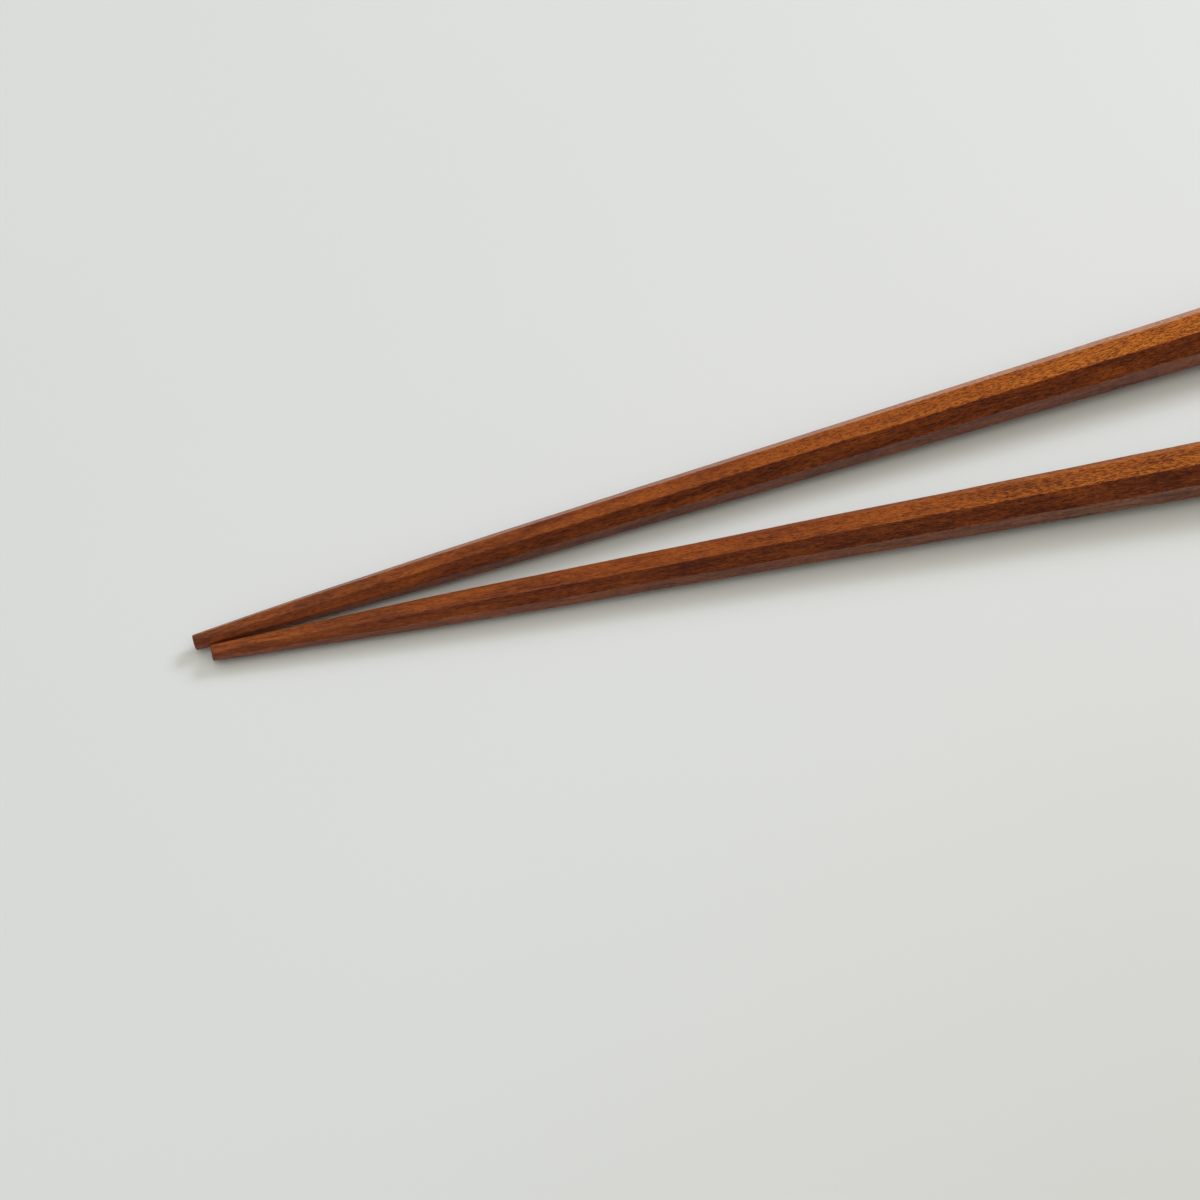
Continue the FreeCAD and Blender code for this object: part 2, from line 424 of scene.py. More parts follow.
@dataclass(frozen=True)
class PlanedStick:
    """The sizes of one stick in millimetres, and the Geometry Nodes that plane it."""

    length: float = 230.0
    tip_flats: float = 2.08
    point_length: float = 46.0
    root_flats: float = 3.19
    taper_end: float = 182.5
    handle_flats: float = 8.20
    handle_blend: float = 17.5
    arris_round: float = 0.20
    point_wear: float = 0.20
    tip_round: float = 0.20
    end_round: float = 0.50
    plane_depth: float = 0.075
    plane_stroke: float = 20.0
    rows: int = 460
    arc_points: int = 5
    flat_points: int = 5

    def apothem_group(self) -> bpy.types.NodeTree:
        """Builds the group that gives the distance from the axis to a facet.

        Returns:
            The node group.
        """
        sheet, x, out = open_group("GeometryNodeTree", "stick_profile",
                                   {name: FLOAT for name in ("Along",) + PROFILE_SIZES},
                                   {"Apothem": FLOAT, "Point": FLOAT, "End": FLOAT})
        along = x["Along"]
        start = x["Taper End"] - x["Handle Blend"]
        eased = sheet.clamp((along - start) / (x["Handle Blend"] * 2.0))
        run = sheet.math("MINIMUM", along, start)
        run = run + x["Handle Blend"] * 2.0 * (eased - eased * eased * 0.5)
        slope = (x["Handle Flats"] - x["Root Flats"]) / (x["Taper End"] * 2.0)
        point = sheet.math("MAXIMUM", x["Point Length"] - along, 0.0) / x["Point Length"]
        fall = (x["Root Flats"] - x["Tip Flats"]) * 0.5 * point * point
        half = x["Root Flats"] * 0.5 + slope * run - fall
        ends = []
        for distance, size in ((along, x["Tip Round"]),
                               (x["Length"] - along, x["End Round"])):
            share = sheet.clamp(1.0 - distance / size)
            bite = 1.0 - sheet.math("SQRT", sheet.clamp(1.0 - share * share))
            half = half - size * bite
            ends.append(share)
        sheet.put(out.inputs["Apothem"], half)
        sheet.put(out.inputs["Point"], point)
        sheet.put(out.inputs["End"], sheet.math("MAXIMUM", *ends))
        return sheet.tree

    def plane_group(self) -> bpy.types.NodeTree:
        """Builds the group that gives how deep the plane bit into a facet, here and there.

        Returns:
            The node group.
        """
        names = ("Along", "Facet", "Depth", "Stroke", "Seed")
        sheet, x, out = open_group("GeometryNodeTree", "plane_strokes",
                                   {name: FLOAT for name in names}, {"Depth": FLOAT})
        facet = sheet.math("MODULO", x["Facet"], float(FACETS))
        apart = facet * FACET_SHIFT + x["Seed"] * SEED_SHIFT
        where = sheet.join(x["Along"] / x["Stroke"], apart, 0.0)
        level = sheet.noise(where, STROKE_DETAIL, STROKE_ROUGHNESS, dimensions="2D")
        depth = sheet.ramp(level, *STROKE_BAND, kind="LINEAR") * x["Depth"]
        lifted = sheet.math("MINIMUM", sheet.math("ABSOLUTE", facet - float(FLOOR_FACET)), 1.0)
        sheet.put(out.inputs["Depth"], depth * lifted)
        return sheet.tree

    def arris_group(self) -> bpy.types.NodeTree:
        """Builds the group that gives a point on the rounded arris between two facets.

        Returns:
            The node group.
        """
        names = ("Corner", "Swing", "Before", "After", "Round")
        sheet, x, out = open_group("GeometryNodeTree", "arris_point",
                                   {name: FLOAT for name in names}, {"Point": VECTOR})
        ray = x["Corner"] * FACET_TURN + HALF_TURN
        reach = (x["Before"] + x["After"] - x["Round"] * 2.0) / (2 * math.cos(HALF_TURN))
        shift = (x["After"] - x["Before"]) / (2 * math.sin(HALF_TURN))
        cosine, sine = sheet.math("COSINE", ray), sheet.math("SINE", ray)
        swung = ray + x["Swing"]
        side = reach * cosine - shift * sine + x["Round"] * sheet.math("COSINE", swung)
        up = reach * sine + shift * cosine + x["Round"] * sheet.math("SINE", swung)
        sheet.put(out.inputs["Point"], sheet.join(0.0, side, up))
        return sheet.tree

    def lay_grid(self, sheet: NodeSheet, x: Dict[str, Wire]) -> Tuple[Wire, GridPlace]:
        """Lays a flat grid, a row for each step along the stick, and places its points.

        Args:
            sheet: the tree's sheet.
            x: the tree's inputs by name.

        Returns:
            The grid, and where its points belong.
        """
        per_corner = x["Arc Points"] + x["Flat Points"]
        columns = per_corner * float(FACETS)
        grid = sheet.add("GeometryNodeMeshGrid")
        for name, value in (("Size X", x["Rows"]), ("Size Y", columns),
                            ("Vertices X", x["Rows"] + 1), ("Vertices Y", columns + 1)):
            sheet.put(grid.inputs[name], value)
        grid_x, grid_y, _ = sheet.split(sheet.wire(sheet.add("GeometryNodeInputPosition")))
        row = sheet.math("ROUND", grid_x + x["Rows"] * 0.5)
        column = sheet.math("ROUND", grid_y + columns * 0.5)

        step = sheet.clamp((row - CAP_ROWS) / (x["Rows"] - 2.0 * CAP_ROWS))
        along = x["Length"] * 0.5 * (1.0 - sheet.math("COSINE", step * math.pi))
        open_cap = sheet.clamp(sheet.math("MINIMUM", row, x["Rows"] - row) / CAP_ROWS)
        corner = sheet.math("FLOOR", (column + 0.5) / per_corner)
        place = column - corner * per_corner
        arc_last = x["Arc Points"] - 1
        swing = sheet.math("MINIMUM", place, arc_last) / arc_last * FACET_TURN - HALF_TURN
        flat = sheet.math("MAXIMUM", place - arc_last, 0.0) / (x["Flat Points"] + 1)
        across = 0.5 - sheet.math("COSINE", flat * math.pi) * 0.5
        return sheet.wire(grid), GridPlace(along, open_cap, corner, swing, across)

    def plane(self, sheet: NodeSheet, x: Dict[str, Wire], at: GridPlace) -> Tuple[Wire, Wire]:
        """Works out where each point of the grid lies on the planed stick.

        Args:
            sheet: the tree's sheet.
            x: the tree's inputs by name.
            at: where the points belong.

        Returns:
            The point, and how far it is round the edge of an end.
        """
        profile, strokes, arris = self.apothem_group(), self.plane_group(), self.arris_group()
        shape = sheet.group(profile, Along=at.along,
                            **{name.replace(" ", "_"): x[name] for name in PROFILE_SIZES})
        half, point, end = (sheet.wire(shape, name) for name in ("Apothem", "Point", "End"))
        rounding = x["Arris Round"] + x["Point Wear"] * point
        facets = [half - sheet.wire(sheet.group(
            strokes, Along=at.along, Facet=at.corner + float(ahead), Depth=x["Plane Depth"],
            Stroke=x["Plane Stroke"], Seed=x["Seed"])) for ahead in range(3)]
        this_edge = sheet.wire(sheet.group(
            arris, Corner=at.corner, Swing=at.swing, Round=rounding,
            Before=facets[0], After=facets[1]))
        next_edge = sheet.wire(sheet.group(
            arris, Corner=at.corner + 1.0, Swing=-HALF_TURN, Round=rounding,
            Before=facets[1], After=facets[2]))
        mix = sheet.add("ShaderNodeMix", data_type="VECTOR")
        for index, value in zip(VECTOR_MIX, (at.across, this_edge, next_edge)):
            sheet.put(mix.inputs[index], value)
        _, side, up = sheet.split(sheet.wire(mix, VECTOR_MIXED))
        return sheet.join(at.along, side * at.open_cap, up * at.open_cap), end

    def mark(self, sheet: NodeSheet, grid: Wire, at: GridPlace, end: Wire) -> Wire:
        """Stores on the grid what the wood's material reads.

        Args:
            sheet: the tree's sheet.
            grid: the grid.
            at: where its points belong.
            end: how far a point is round the edge of an end.

        Returns:
            The marked grid.
        """
        on_arris = 1.0 - sheet.clamp(at.across * (1 / ARRIS_SHARE))
        # This is 1 halfway round the edge and 0 on both sides of it.
        on_rim = end * (1.0 - end) * 4.0
        edge = sheet.math("MAXIMUM", on_arris * (1.0 - end), on_rim)
        bearing = at.corner * FACET_TURN + HALF_TURN + at.swing
        facing = sheet.join(0.0, sheet.math("COSINE", bearing), sheet.math("SINE", bearing))
        for label, kind, value in (("arris", "FLOAT", edge), ("along", "FLOAT", at.along),
                                   ("end_grain", "FLOAT", end), ("across", "FLOAT", at.across),
                                   ("facing", "FLOAT_VECTOR", facing)):
            store = sheet.add("GeometryNodeStoreNamedAttribute", data_type=kind,
                              domain="POINT")
            sheet.put(store.inputs["Geometry"], grid)
            store.inputs["Name"].default_value = label
            sheet.put(store.inputs["Value"], value)
            grid = sheet.wire(store)
        return grid

    def tree(self) -> bpy.types.NodeTree:
        """Builds the whole tree: a marked grid, bent onto the facets, closed and laid down.

        Returns:
            The Geometry Nodes tree.
        """
        takes = {name: FLOAT for name in PROFILE_SIZES + CUT_SIZES}
        takes.update({name: "NodeSocketInt"
                      for name in ("Rows", "Arc Points", "Flat Points", "Seed")})
        takes.update({"Place": VECTOR, "Turn": VECTOR, "Wood": "NodeSocketMaterial"})
        sheet, x, out = open_group("GeometryNodeTree", "planed_stick", takes,
                                   {"Geometry": "NodeSocketGeometry"})
        grid, at = self.lay_grid(sheet, x)
        spot, end = self.plane(sheet, x, at)
        turn = sheet.add("FunctionNodeEulerToRotation")
        sheet.put(turn.inputs[0], x["Turn"])
        seat = {"Translation": x["Place"], "Rotation": sheet.wire(turn)}
        stick = self.mark(sheet, grid, at, end)
        for kind, settings in (("GeometryNodeSetPosition", {"Position": spot}),
                               ("GeometryNodeMergeByDistance", {"Distance": SEAM_GAP}),
                               ("GeometryNodeFlipFaces", {}),
                               ("GeometryNodeSetShadeSmooth", {"Shade Smooth": True}),
                               ("GeometryNodeTransform", seat),
                               ("GeometryNodeRealizeInstances", {}),
                               ("GeometryNodeSetMaterial", {"Material": x["Wood"]})):
            node = sheet.add(kind)
            source = "Mesh" if "Mesh" in node.inputs else "Geometry"
            sheet.put(node.inputs[source], stick)
            for label, value in settings.items():
                sheet.put(node.inputs[label], value)
            stick = sheet.wire(node)
        sheet.put(out.inputs["Geometry"], stick)
        return sheet.tree

    def settings(self) -> Dict[str, Union[float, int]]:
        """Gathers what the tree takes from this stick.

        Returns:
            Its sizes in metres, and its counts, by input name.
        """
        lengths = {"Length": self.length, "Tip Flats": self.tip_flats,
                   "Point Length": self.point_length, "Root Flats": self.root_flats,
                   "Taper End": self.taper_end, "Handle Flats": self.handle_flats,
                   "Handle Blend": self.handle_blend, "Arris Round": self.arris_round,
                   "Point Wear": self.point_wear, "Tip Round": self.tip_round,
                   "End Round": self.end_round, "Plane Depth": self.plane_depth,
                   "Plane Stroke": self.plane_stroke}
        values: Dict[str, Union[float, int]] = {k: v * MM for k, v in lengths.items()}
        values.update({"Rows": self.rows, "Arc Points": self.arc_points,
                       "Flat Points": self.flat_points})
        return values


def tone_group() -> bpy.types.NodeTree:
    """Builds the shader group of the wood's bands, streaks and fibres, in millimetres of grain.

    Returns:
        The node group.
    """
    sheet, x, out = open_group("ShaderNodeTree", "wood_figure", {"Grain": VECTOR},
                               {"Patch": FLOAT, "Streak": FLOAT, "Fibre": FLOAT,
                                "Fleck": FLOAT})
    for label, size, detail, roughness, distortion in (
            ("Patch", (9.0, 1.5, 2.2), 2.0, 0.55, 0.2),
            ("Streak", (7.0, 0.30, 0.8), 3.0, 0.6, 0.1),
            ("Fibre", (1.25, 0.11, 0.13), 2.0, 0.6, 0.0),
            ("Fleck", (0.78, 0.125, 0.14), 1.0, 0.5, 0.0)):
        where = sheet.vector("DIVIDE", x["Grain"], size)
        sheet.put(out.inputs[label], sheet.noise(where, detail, roughness, distortion))
    return sheet.tree


def pore_group() -> bpy.types.NodeTree:
    """Builds the shader group of the open pores: short dark dashes along the grain.

    Returns:
        The node group.
    """
    sheet, x, out = open_group("ShaderNodeTree", "wood_pores",
                               {"Grain": VECTOR, "Size": VECTOR, "Share": FLOAT},
                               {"Mask": FLOAT})
    cells = sheet.add("ShaderNodeTexVoronoi")
    sheet.put(cells.inputs["Vector"], sheet.vector("DIVIDE", x["Grain"], x["Size"]))
    sheet.put(cells.inputs["Scale"], 1.0)
    near = sheet.ramp(sheet.wire(cells, "Distance"), *PORE_EDGE)
    chance, _, _ = sheet.split(sheet.wire(cells, "Color"))
    kept = sheet.math("LESS_THAN", chance, x["Share"])
    sheet.put(out.inputs["Mask"], near * kept)
    return sheet.tree


def arris_wear_group() -> bpy.types.NodeTree:
    """Builds the shader group of the rubbed arrises, broken up along the grain.

    Returns:
        The node group.
    """
    sheet, x, out = open_group("ShaderNodeTree", "rubbed_arris",
                               {"Arris": FLOAT, "Grain": VECTOR}, {"Mask": FLOAT})
    where = sheet.vector("DIVIDE", x["Grain"], RUBBED_PATCH)
    broken = sheet.noise(where, detail=2.0, roughness=0.6)
    rubbed_glint = sheet.ramp(x["Arris"], *RUBBED_EDGE) * sheet.ramp(broken, *RUBBED_BAND)
    sheet.put(out.inputs["Mask"], rubbed_glint)
    return sheet.tree


@dataclass(frozen=True)
class WoodGroups:
    """The shader groups that both sticks' woods use."""

    tone: bpy.types.NodeTree
    pores: bpy.types.NodeTree
    wear: bpy.types.NodeTree

    @classmethod
    def build(cls) -> "WoodGroups":
        """Builds them once."""
        return cls(tone=tone_group(), pores=pore_group(), wear=arris_wear_group())


@dataclass(frozen=True)
class WoodPoint:
    """What the wood's colour and gloss are worked out from, at one point of a stick."""

    grain: Wire
    patch: Wire
    streak: Wire
    fibre: Wire
    fleck: Wire
    pores: Wire
    arris: Wire
    along: Wire
    across: Wire
    end_grain: Wire
    facing: Wire


@dataclass(frozen=True)
class OiledHardwood:
    """The oiled wood of one stick.

    Colours are linear. offset and the pores are in millimetres of grain, and log_turn in degrees
    round the stick. A reach is two places in metres from the tip, a turn the cosines of two
    angles from one side, and a band two values of a noise, between which an effect comes in. A
    sway is how far a noise moves a tone, and a share how much of an effect shows.
    """

    name: str
    log_turn: float
    offset: Tuple[float, float, float]
    streaks: float
    sheen_rise: float
    lit_lift_tip: float
    tip_tone: float
    handle_tone: float
    dull: float
    # Painted sheen on the far slope, which faces the light: its warmer tone and its share of
    # gold.
    far_tone: float = 0.12
    far_sheen: float = 0.6
    bare: float = 0.0

    # The colours.
    deep: Colour = (0.070, 0.0145, 0.0055, 1.0)
    amber: Colour = (0.288, 0.0615, 0.0095, 1.0)
    # Painted sheen: the golden colour put on the facets that face the light, and on random golden
    # patches of the figure.
    sheen_gold: Colour = (0.560, 0.172, 0.014, 1.0)
    # The pores' colour; it also paints the shade of the underside.
    pore: Colour = (0.035, 0.008, 0.003, 1.0)
    scuffed: Colour = (0.250, 0.130, 0.090, 1.0)
    straw: Colour = (0.240, 0.105, 0.048, 1.0)
    # Wear and painted highlight: the pale cool tone multiplied onto the rubbed arrises that face
    # up.
    rubbed_glint: Colour = (1.45, 1.55, 1.6, 1.0)
    cut: Colour = (0.085, 0.024, 0.011, 1.0)
    cut_pale: Colour = (0.170, 0.056, 0.026, 1.0)

    # The two sizes of pores.
    long_pore: Tuple[float, float, float] = (1.5, 0.20, 0.20)
    long_share: float = 0.30
    short_pore: Tuple[float, float, float] = (0.7, 0.15, 0.15)
    short_share: float = 0.60

    # What changes along the stick.
    tip_reach: Span = (0.070, 0.0)
    handle_reach: Span = (0.075, 0.115)
    # Painted light: how much lighter the facets that face the light are painted, from the tip to
    # the handle.
    lit_lift_reach: Span = (0.002, 0.085)
    lit_lift_handle: float = 0.50
    far_reach: Span = (0.020, 0.110)
    far_rise: Span = (0.7, 1.2)
    # Painted sheen: where along the stick it grows, and how strong it is at the tip.
    sheen_reach: Span = (0.060, 0.155)
    sheen_tip: float = 0.10
    scuffed_reach: Span = (0.055, 0.0)
    scuffed_share: float = 0.06
    bare_reach: Span = (0.075, 0.120)
    pore_reach: Span = (0.015, 0.110)
    pore_rise: Span = (0.25, 0.75)

    # What changes round the stick, which places the painted light and shade.
    lit_turn: Span = (0.45, 0.88)
    facet_turn: Span = (0.86, 0.98)
    side_turn: Span = (0.75, 1.0)
    gloss_turn: Span = (0.60, 0.97)
    dull_turn: Span = (0.80, 0.98)
    glint_turn: Span = (-0.1, 0.3)
    shade_turn: Span = (0.02, 0.38)
    below_turn: Span = (0.56, 0.70)

    # What the grain breaks up.
    sheen_band: Span = (0.44, 0.56)
    dark_band: Span = (0.54, 0.72)
    bare_band: Span = (0.50, 0.60)

    # The tone of the clean wood, and of the painted light on it.
    level: float = 0.32
    # Painted floor bounce: the lighter tone of the near side.
    near_level: float = 0.46
    patch_sway: float = 1.3
    streak_sway: float = 0.9
    fibre_sway: float = 1.5
    fleck_sway: float = 0.8
    fine_rise: float = 0.45
    sheen_share: float = 0.75
    sheen_slant: float = 0.5
    gold_sway: float = 0.5

    # The wear, with a painted highlight on the upper arrises, and the painted shade of the
    # underside.
    rubbed_glint_share: float = 0.6
    shade_share: float = 0.9
    below_light: float = 0.65

    # The cut ends.
    cut_level: float = 0.4
    cut_patch_sway: float = 1.6
    cut_streak_sway: float = 1.4
    cut_pores: float = 0.7

    # The oil's coat.
    side_gloss: float = 0.52
    top_gloss: float = 0.18
    near_gloss: float = 0.15
    gloss_lean: float = 8.0
    fibre_fill: float = 1.2
    fleck_fill: float = 0.6
    streak_fill: float = 0.8
    unfilled: float = 0.3
    below_dull: float = 0.5
    cut_dull: float = 0.95
    coat_roughness: float = 0.12

    # The wood under the coat.
    roughness: float = 0.40
    pore_roughness: float = 0.2
    fibre_roughness: float = 0.2
    cut_roughness: float = 0.3
    specular: float = 0.03
    refraction: float = 1.5
    fibre_relief: float = 0.5
    pore_relief: float = 0.8
    streak_relief: float = 0.5
    relief: float = 0.03
    relief_strength: float = 0.5

    def read(self, sheet: NodeSheet, seat: Seat, groups: WoodGroups) -> WoodPoint:
        """Reads the grain along one stick, and the marks that its planing left.

        Args:
            sheet: the material's sheet.
            seat: where the stick lies.
            groups: the shared shader groups.

        Returns:
            What the colour and the gloss are worked out from.
        """
        turned = sheet.add("ShaderNodeMapping", vector_type="TEXTURE")
        coordinates = sheet.add("ShaderNodeTexCoord")
        sheet.put(turned.inputs["Vector"], sheet.wire(coordinates, "Object"))
        sheet.put(turned.inputs["Location"], tuple(seat.tip))
        sheet.put(turned.inputs["Rotation"], seat.turn)
        sheet.put(turned.inputs["Scale"], (MM, MM, MM))
        logged = sheet.add("ShaderNodeMapping", vector_type="POINT")
        sheet.put(logged.inputs["Vector"], sheet.wire(turned))
        sheet.put(logged.inputs["Rotation"], (math.radians(self.log_turn), 0.0, 0.0))
        sheet.put(logged.inputs["Location"], self.offset)
        grain = sheet.wire(logged)

        figure = sheet.group(groups.tone, Grain=grain)
        wires = {name.lower(): sheet.wire(figure, name)
                 for name in ("Patch", "Streak", "Fibre", "Fleck")}
        for label in ("arris", "along", "across", "end_grain"):
            mark = sheet.add("ShaderNodeAttribute", attribute_name=label)
            wires[label] = sheet.wire(mark, "Fac")
        facing = sheet.add("ShaderNodeAttribute", attribute_name="facing")
        pores = [sheet.wire(sheet.group(groups.pores, Grain=grain, Size=size, Share=share))
                 for size, share in ((self.long_pore, self.long_share),
                                     (self.short_pore, self.short_share))]
        return WoodPoint(grain=grain, pores=sheet.math("MAXIMUM", *pores),
                         facing=sheet.wire(facing, "Vector"), **wires)

    def planed(self, sheet: NodeSheet, at: WoodPoint) -> Wire:
        """Colours the clean wood with painted light: a painted sheen on the facets facing the
        light, golden towards the handle; the near side painted lighter as painted floor bounce;
        and the facets away from the light painted lighter and redder towards the tip.

        Args:
            sheet: the material's sheet.
            at: the point's grain and marks.

        Returns:
            The colour.
        """
        # Painted sheen: the facets that face the light, over the top and towards the far side.
        lit_facets = sheet.ramp(sheet.towards(at.facing, Side.FAR_ARRIS), *self.lit_turn)
        far_slope = sheet.ramp(sheet.towards(at.facing, Side.FAR_SLOPE), *self.facet_turn)
        # Painted floor bounce: the near side is painted a lighter tone than the rest.
        level = sheet.ramp(sheet.towards(at.facing, Side.NEAR_SIDE), *self.side_turn,
                           self.level, self.near_level)
        # Painted light: the facets away from the light are painted lighter and redder towards the
        # tip, easing their shade.
        level = level + sheet.ramp(at.along, *self.tip_reach, 0.0, self.tip_tone) * (1.0 - lit_facets)
        level = level + sheet.ramp(at.along, *self.handle_reach, 0.0, self.handle_tone)
        # Painted light: the facets that face the light are painted lighter, more so towards the
        # handle.
        lit_lift = lit_facets * sheet.ramp(at.along, *self.lit_lift_reach, self.lit_lift_tip, self.lit_lift_handle)
        # Painted sheen: the far slope is painted warmer towards the handle.
        far_tone = far_slope * sheet.ramp(at.along, *self.far_reach, *self.far_rise)
        rise = sheet.ramp(at.along, *self.sheen_reach, self.sheen_tip, self.sheen_rise)
        fine = sheet.sway(at.fibre, self.fibre_sway) + sheet.sway(at.fleck, self.fleck_sway)
        broad = sheet.sway(at.patch, self.patch_sway) + sheet.sway(at.streak, self.streak_sway)
        warm = sheet.clamp(lit_lift + level + broad + fine * (rise * self.fine_rise + 1.0)
                           + far_tone * self.far_tone)
        colour = sheet.blend(warm, self.deep, self.amber)
        # Painted sheen on the facets that face the light, growing towards the handle, plus random
        # golden patches.
        shine = sheet.clamp(lit_facets * rise * (self.sheen_share + at.across * self.sheen_slant)
                            + sheet.sway(at.patch, self.gold_sway))
        # Painted sheen on the far slope as well.
        shine = shine + far_slope * rise * self.far_sheen
        return sheet.blend(shine * sheet.ramp(at.fleck, *self.sheen_band), colour, self.sheen_gold)

    def worn(self, sheet: NodeSheet, at: WoodPoint, groups: WoodGroups, colour: Wire) -> Wire:
        """Adds the scuffed tip, dark and bare streaks, pores, rubbed arrises with a painted
        highlight on the upper ones, and painted shade on the underside.

        Args:
            sheet: the material's sheet.
            at: the point's grain and marks.
            groups: the shared shader groups.
            colour: the clean wood.

        Returns:
            The colour.
        """
        scuffed = sheet.ramp(at.along, *self.scuffed_reach, 0.0, self.scuffed_share)
        colour = sheet.blend(scuffed, colour, self.scuffed)
        dark = sheet.ramp(at.streak, *self.dark_band) * self.streaks
        colour = sheet.blend(dark, colour, self.deep)
        near_side = sheet.ramp(sheet.towards(at.facing, Side.NEAR_SIDE), *self.facet_turn)
        bare = near_side * self.bare * sheet.ramp(at.along, *self.bare_reach)
        colour = sheet.blend(bare * sheet.ramp(at.streak, *self.bare_band), colour, self.straw)
        open_pores = at.pores * sheet.ramp(at.along, *self.pore_reach, *self.pore_rise)
        colour = sheet.blend(open_pores, colour, self.pore)
        rubbed_glint = sheet.wire(sheet.group(groups.wear, Arris=at.arris, Grain=at.grain))
        # Painted highlight: the rubbed arrises are kept only where they face up, towards the
        # light.
        rubbed_glint = rubbed_glint * sheet.ramp(sheet.towards(at.facing, Side.TOP), *self.glint_turn)
        lighter = sheet.blend(1.0, colour, self.rubbed_glint, "MULTIPLY")
        colour = sheet.blend(rubbed_glint * self.rubbed_glint_share, colour, lighter)
        # Painted shade: the facets towards the table are darkened with the pore colour, less on
        # those that face it squarely.
        shade = sheet.ramp(sheet.towards(at.facing, Side.TABLE), *self.shade_turn)
        shade = shade * (1.0 - self.below(sheet, at) * self.below_light)
        return sheet.blend(shade * self.shade_share, colour, self.pore)

    def below(self, sheet: NodeSheet, at: WoodPoint) -> Wire:
        """Returns 1 on the facets that face the table."""
        return sheet.ramp(sheet.towards(at.facing, Side.TABLE), *self.below_turn)

    def sawn(self, sheet: NodeSheet, at: WoodPoint, colour: Wire) -> Wire:
        """Adds the end grain of the two cut ends.

        Args:
            sheet: the material's sheet.
            at: the point's grain and marks.
            colour: the worn wood.

        Returns:
            The colour.
        """
        rings = sheet.clamp(self.cut_level + sheet.sway(at.patch, self.cut_patch_sway)
                            + sheet.sway(at.streak, self.cut_streak_sway))
        cut = sheet.blend(rings, self.cut, self.cut_pale)
        cut = sheet.blend(at.pores * self.cut_pores, cut, self.pore)
        return sheet.blend(at.end_grain, colour, cut)

    def oil(self, sheet: NodeSheet, at: WoodPoint) -> Wire:
        """Works out the weight of the thin satin coat that the oil leaves.

        Args:
            sheet: the material's sheet.
            at: the point's grain and marks.

        Returns:
            The coat's weight.
        """
        gloss = sheet.ramp(sheet.towards(at.facing, Side.TOP, self.gloss_lean),
                           *self.gloss_turn, self.side_gloss, self.top_gloss)
        gloss = gloss + sheet.ramp(sheet.towards(at.facing, Side.NEAR_SIDE), *self.side_turn,
                                   0.0, self.near_gloss)
        dull = sheet.ramp(sheet.towards(at.facing, Side.FAR_SLOPE), *self.dull_turn) * self.dull
        filled = (at.fibre * self.fibre_fill + at.fleck * self.fleck_fill
                  + at.streak * self.streak_fill - self.unfilled)
        open_side = 1.0 - self.below(sheet, at) * self.below_dull
        coat = sheet.clamp((gloss - dull) * filled * open_side)
        return coat * (1.0 - at.end_grain * self.cut_dull)

    def build(self, seat: Seat, groups: WoodGroups) -> bpy.types.Material:
        """Builds the material, with its grain along one stick.

        Args:
            seat: where the stick lies.
            groups: the shared shader groups.

        Returns:
            The material.
        """
        material = bpy.data.materials.new(self.name)
        material.use_nodes = True
        sheet = NodeSheet(material.node_tree)
        sheet.tree.nodes.clear()
        at = self.read(sheet, seat, groups)
        colour = self.worn(sheet, at, groups, self.planed(sheet, at))
        bump = sheet.add("ShaderNodeBump")
        sheet.put(bump.inputs["Height"], at.fibre * self.fibre_relief
                  - at.pores * self.pore_relief + at.streak * self.streak_relief)
        bump.inputs["Strength"].default_value = self.relief_strength
        bump.inputs["Distance"].default_value = self.relief * MM
        roughness = (self.roughness + at.pores * self.pore_roughness
                     + sheet.sway(at.fibre, self.fibre_roughness)
                     + at.end_grain * self.cut_roughness)
        shader = sheet.add("ShaderNodeBsdfPrincipled")
        for name, value in (("Base Color", self.sawn(sheet, at, colour)),
                            ("Roughness", roughness), ("IOR", self.refraction),
                            ("Specular IOR Level", self.specular),
                            ("Coat Weight", self.oil(sheet, at)),
                            ("Coat Roughness", self.coat_roughness),
                            ("Normal", sheet.wire(bump))):
            sheet.put(shader.inputs[name], value)
        output = sheet.add("ShaderNodeOutputMaterial")
        sheet.put(output.inputs["Surface"], sheet.wire(shader))
        return material


@dataclass(frozen=True)
class Chopstick:
    """One stick of the pair: its CAD node, its planing and its wood."""

    node: str
    seed: int
    wood: OiledHardwood
    planing: PlanedStick = PlanedStick()

    def make(self, tree: bpy.types.NodeTree, groups: WoodGroups) -> bpy.types.Object:
        """Planes the stick where its CAD solid lies and dresses it.

        Args:
            tree: the Geometry Nodes tree.
            groups: the shared shader groups.

        Returns:
            The finished piece, a plain mesh at the origin.
        """
        seat = Seat.read(self.node)
        material = self.wood.build(seat, groups)
        piece = bpy.data.objects.new(self.node + "_wood", bpy.data.meshes.new("blank"))
        bpy.context.scene.collection.objects.link(piece)
        modifier = piece.modifiers.new("planing", "NODES")
        modifier.node_group = tree
        values: Dict[str, Any] = dict(self.planing.settings())
        values.update({"Length": seat.length, "Seed": self.seed, "Place": tuple(seat.tip),
                       "Turn": seat.turn, "Wood": material})
        sockets = {s.name: s.identifier for s in tree.interface.items_tree
                   if s.item_type == "SOCKET" and s.in_out == "INPUT"}
        for name, value in values.items():
            modifier[sockets[name]] = value
        graph = bpy.context.evaluated_depsgraph_get()
        mesh = bpy.data.meshes.new_from_object(piece.evaluated_get(graph))
        piece.modifiers.clear()
        piece.data = mesh
        mesh.name = piece.name
        LOG.info("%s: %d vertices, %d faces, %.2f mm long, tip at %s mm", piece.name,
                 len(mesh.vertices), len(mesh.polygons), seat.length / MM,
                 tuple(round(v / MM, 2) for v in seat.tip))
        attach(piece, "root")
        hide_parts(self.node)
        return piece


